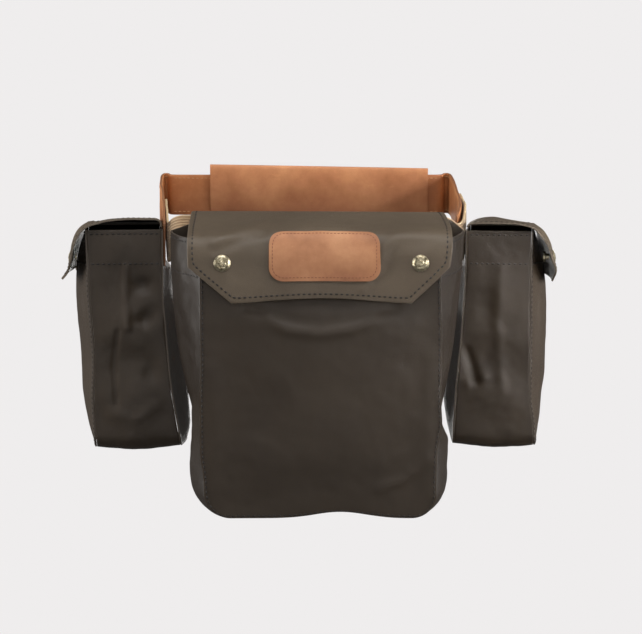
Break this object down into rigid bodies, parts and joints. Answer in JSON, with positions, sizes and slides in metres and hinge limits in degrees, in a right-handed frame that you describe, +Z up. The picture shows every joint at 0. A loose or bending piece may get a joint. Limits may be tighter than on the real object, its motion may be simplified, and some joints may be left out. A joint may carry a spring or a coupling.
{
  "type": "hunting game bag",
  "caption": "Canvas hunting game bag on a waist belt: a large flapped game pouch in front, a flapped shell pouch at each side and a leather and webbing belt.",
  "frame": {"origin": "middle of the waist loop that the belt makes, at the height of the pouches' rims", "axes": "+Z up, -Y from the waist towards the game pouch, +X to the right for someone who looks at the game pouch"},
  "size_m": [0.4752, 0.2991, 0.3045],
  "materials": {
    "canvas": "dark brown coated canvas, satin",
    "flap_canvas": "olive brown coated canvas, satin",
    "leather": "tan vegetable tanned leather",
    "webbing": "cream cotton webbing, matt",
    "snap_metal": "antique brass, worn"
  },
  "bodies": {
    "root": {"main_front_panel": "canvas", "main_gusset": "canvas", "main_back_panel": "canvas", "main_flap": "flap_canvas", "flap_patch": "leather", "snap_cap_left": "snap_metal", "snap_cap_right": "snap_metal", "snap_stud_left": "snap_metal", "snap_stud_right": "snap_metal", "left_front_panel": "canvas", "left_gusset": "canvas", "left_back_panel": "canvas", "left_flap": "flap_canvas", "left_pouch_cap": "snap_metal", "left_pouch_stud": "snap_metal", "right_front_panel": "canvas", "right_gusset": "canvas", "right_back_panel": "canvas", "right_flap": "flap_canvas", "right_pouch_cap": "snap_metal", "right_pouch_stud": "snap_metal", "belt_strap": "leather", "belt_webbing": "webbing", "belt_sleeve": "leather"}
  },
  "joints": []
}
